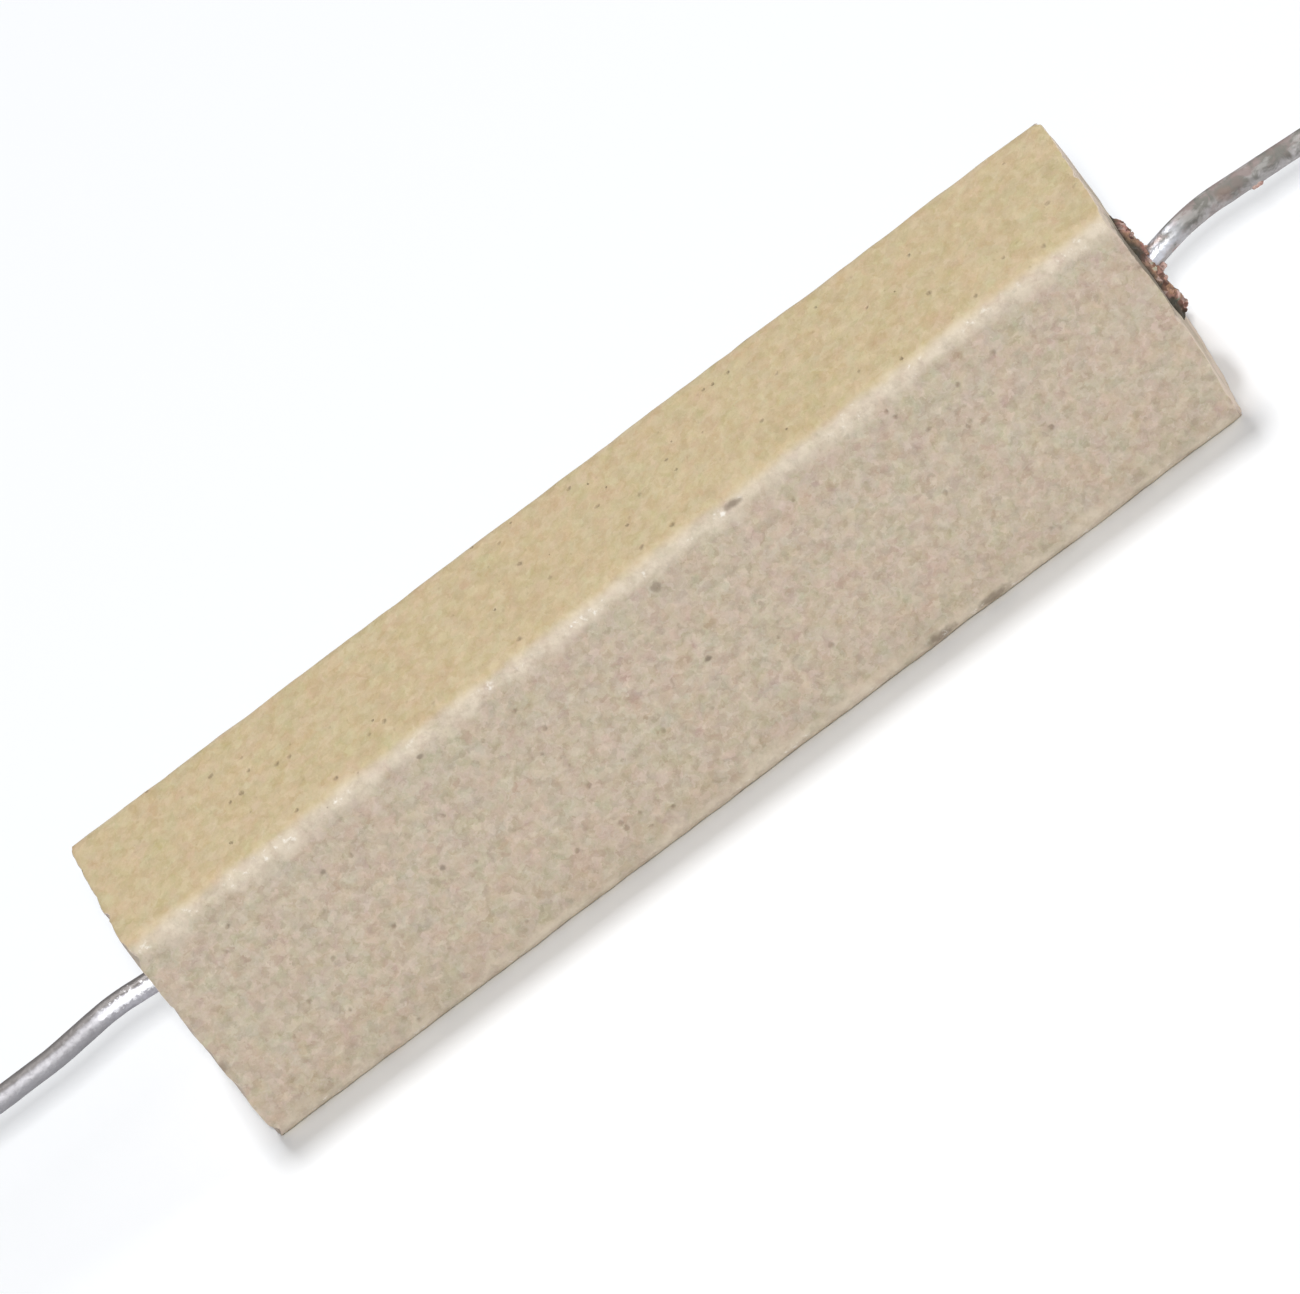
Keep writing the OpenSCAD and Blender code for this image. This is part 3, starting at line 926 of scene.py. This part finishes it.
def tin_material():
    """Hot-dipped tin with painted shade above. The left lead is bright by the case, and the right one is
    dull.
    """
    material, g, skin = new_material("hot_dipped_tin")
    place = g.millimetres()
    along = g.axes(place)["X"]
    upward = g.facing()["Z"]
    dull = g.ramp(along, -1, 1)
    away = g.ramp(g.math("ABSOLUTE", along), END + 0.6, END + 3.2)
    fresh = g.ramp(along, END + 0.8, END + 2.2, 1.0, 0.0)
    drawn = g.vector("MULTIPLY", place, (0.4, 1, 1))
    grain = g.noise(place, 4.0, 4, 0.6)
    patch = g.noise(place, 1.3, 3, 0.6)
    blotch = g.noise(place, 1.9, 3, 0.6, 0.5)
    bright = bright_tin(g, place, upward, away, grain, patch)
    grey = grey_tin(g, drawn, upward, grain, blotch)
    by_plug = g.math("MULTIPLY", dull, fresh)
    colour = marks_and_highlight_tin(g, place, drawn, dull, by_plug, patch, g.mix(dull, bright, grey))
    far_dull = g.math("MULTIPLY", dull, g.math("SUBTRACT", 1.0, fresh))
    worn = g.math("MAXIMUM", g.math("MULTIPLY", away, 0.5), far_dull)
    dented = g.math("ADD", grain, g.math("MULTIPLY", blotch, 1.6))
    g.feed(skin, {
        "Base Color": colour,
        "Metallic": 0.8,
        "Specular Tint": (0.3, 0.3, 0.31, 1),
        "Roughness": g.math("ADD", g.ramp(patch, 0.3, 0.7, 0.4, 0.48), g.math("MULTIPLY", worn, 0.26)),
        "Normal": g.bump(dented, 0.03 * MM),
    })
    return material


def filling_material():
    """Packed pale mineral powder."""
    material, g, skin = new_material("packed_mineral")
    fine = g.noise(g.millimetres(), 6, 4, 0.7)
    g.feed(skin, {
        "Base Color": g.mix(g.ramp(fine, 0.3, 0.7), (0.58, 0.54, 0.46, 1), (0.76, 0.73, 0.66, 1)),
        "Roughness": 0.95,
        "Normal": g.bump(fine, 0.04 * MM),
    })
    return material


def glass_fibre_material():
    """Bundled glass fibre, with its strands along the rod."""
    material, g, skin = new_material("glass_fibre_core")
    strand = g.noise(g.vector("MULTIPLY", g.millimetres(), (0.05, 1, 1)), 9, 3, 0.6)
    g.feed(skin, {
        "Base Color": g.mix(g.ramp(strand, 0.3, 0.7), (0.66, 0.62, 0.50, 1), (0.84, 0.82, 0.74, 1)),
        "Roughness": 0.45,
        "Normal": g.bump(strand, 0.03 * MM),
    })
    return material


def drawn_metal(name, dark, light, rough, stretch):
    """Drawn or pressed metal with fine lines."""
    material, g, skin = new_material(name)
    line = g.noise(g.vector("MULTIPLY", g.millimetres(), stretch), 8, 3, 0.6)
    g.feed(skin, {
        "Base Color": g.mix(g.ramp(line, 0.3, 0.7), dark, light),
        "Metallic": 1.0,
        "Roughness": g.ramp(line, 0.2, 0.8, rough, rough + 0.15),
        "Normal": g.bump(line, 0.01 * MM),
    })
    return material


def dress_inner_nodes():
    """Gives each CAD node inside the case its own material."""
    steel = drawn_metal(
        "plated_steel", dark=(0.28, 0.29, 0.3, 1), light=(0.42, 0.43, 0.44, 1),
        rough=0.3, stretch=(0.3, 1, 1),
    )
    alloy = drawn_metal(
        "resistance_alloy", dark=(0.22, 0.2, 0.18, 1), light=(0.36, 0.33, 0.29, 1),
        rough=0.4, stretch=(3, 1, 1),
    )
    finishes = {
        "mineral_filling": filling_material(),
        "core_rod": glass_fibre_material(),
        "resistance_winding": alloy,
        "end_cap_left": steel,
        "end_cap_right": steel,
    }
    for node, material in finishes.items():
        mesh = frame["nodes"][node].data
        mesh.materials.clear()
        mesh.materials.append(material)


# Stage

def floor_material():
    """White paper, a little cool so that the warm light off the case leaves its shadow nearly grey."""
    material, g, skin = new_material("white_paper")
    g.feed(skin, {"Base Color": PAPER, "Roughness": 0.9, "Specular IOR Level": 0.0})
    return material


def floor():
    """Wide flat floor that the body lies on."""
    bm = bmesh.new()
    bmesh.ops.create_grid(bm, x_segments=1, y_segments=1, size=FLOOR_HALF)
    mesh = bpy.data.meshes.new("floor")
    bm.to_mesh(mesh)
    bm.free()
    mesh.materials.append(floor_material())
    piece = bpy.data.objects.new("floor", mesh)
    bpy.context.scene.collection.objects.link(piece)


def world():
    """White all round, dimmer as a light than as a background."""
    sky = bpy.data.worlds.new("studio")
    bpy.context.scene.world = sky
    sky.use_nodes = True
    g = Graph(sky.node_tree)
    rays = g.add("ShaderNodeLightPath").outputs
    seen = g.math("MAXIMUM", rays["Is Camera Ray"], rays["Is Glossy Ray"])
    seen = g.math("MAXIMUM", seen, rays["Is Transmission Ray"])
    g.feed(sky.node_tree.nodes["Background"], {
        "Color": (1, 1, 1, 1),
        "Strength": g.ramp(seen, 0, 1, SKY_LIGHT, SKY_SEEN, smooth=False),
    })


def from_body(azimuth, elevation):
    """Direction from the body to a place round it. Azimuth 0 is straight in front, along -Y."""
    return Vector((
        math.sin(azimuth) * math.cos(elevation),
        -math.cos(azimuth) * math.cos(elevation),
        math.sin(elevation),
    ))


def soft_lamp(name, azimuth, elevation, distance, size, level):
    """Area lamp that faces the body. Level is how bright a white surface that faces it becomes."""
    direction = from_body(azimuth, elevation)
    data = bpy.data.lights.new(name, "AREA")
    data.shape = "RECTANGLE"
    data.size, data.size_y = size
    data.energy = level * (math.pi * distance) ** 2
    lamp = bpy.data.objects.new(name, data)
    lamp.location = AXIS + direction * distance
    lamp.rotation_mode = "QUATERNION"
    lamp.rotation_quaternion = direction.to_track_quat("Z", "Y")
    bpy.context.scene.collection.objects.link(lamp)
    return lamp


def shine_past(lamp, pieces):
    """Lets a lamp throw no shadow of some pieces, so that each has one shadow, as in the photograph."""
    group = bpy.data.collections.new("shone_past")
    for piece in pieces:
        group.objects.link(piece)
    for item in group.collection_objects:
        item.light_linking.link_state = "EXCLUDE"
    lamp.light_linking.blocker_collection = group


def photo_camera():
    """Camera at the photograph's view, rolled so that the level body lies in it as it does there."""
    data = bpy.data.cameras.new("photo_camera")
    data.lens = LENS
    data.sensor_width = SENSOR
    data.clip_end = 20
    camera = bpy.data.objects.new("photo_camera", data)
    back = from_body(VIEW_AZIMUTH, VIEW_ELEVATION)
    turn = (-back).to_track_quat("-Z", "Y") @ Quaternion((0, 0, 1), VIEW_ROLL)
    aside = Vector((-CENTRE_RIGHT_PX, -CENTRE_UP_PX, 0)) / PX_PER_MM * MM
    distance = LENS * FRAME_W / SENSOR / PX_PER_MM * MM
    camera.rotation_mode = "QUATERNION"
    camera.rotation_quaternion = turn
    camera.location = AXIS + back * distance + turn @ aside
    bpy.context.scene.collection.objects.link(camera)
    bpy.context.scene.camera = camera


photo_camera()
speck = speck_group()
mottle = mottle_group()
cement = cement_material()
tin = tin_material()
ceramic_tube(ceramic_material(speck, mottle))
crumbly_plug(
    "crumbly_plug_right", side=1, top=RIGHT_CROWN, shrink=SHRINK_DEPTH,
    seed=11, material=cement, node="cement_plug_right",
)
crumbly_plug(
    "crumbly_plug_left", side=-1, top=LEFT_CROWN, shrink=0,
    seed=23, material=cement, node="cement_plug_left",
)
thin_pieces = [
    tinned_lead("tinned_lead_right", 1, RIGHT_BENDS, seed=31, material=tin, node="lead_right"),
    tinned_lead("tinned_lead_left", -1, LEFT_BENDS, seed=47, material=tin, node="lead_left"),
    cement_residue(cement),
]
dress_inner_nodes()
floor()
world()
overhead = soft_lamp(
    "overhead", azimuth=0, elevation=math.radians(101), distance=1.0, size=(0.15, 0.23), level=0.615
)
shine_past(overhead, thin_pieces)
soft_lamp(
    "front", azimuth=VIEW_AZIMUTH, elevation=math.radians(31), distance=1.2, size=(0.08, 0.1), level=0.63
)
soft_lamp(
    "side", azimuth=math.radians(84), elevation=math.radians(12), distance=1.2, size=(0.4, 0.4), level=0.3
)

bpy.context.scene.view_settings.view_transform = "Standard"
bpy.context.view_layer.update()
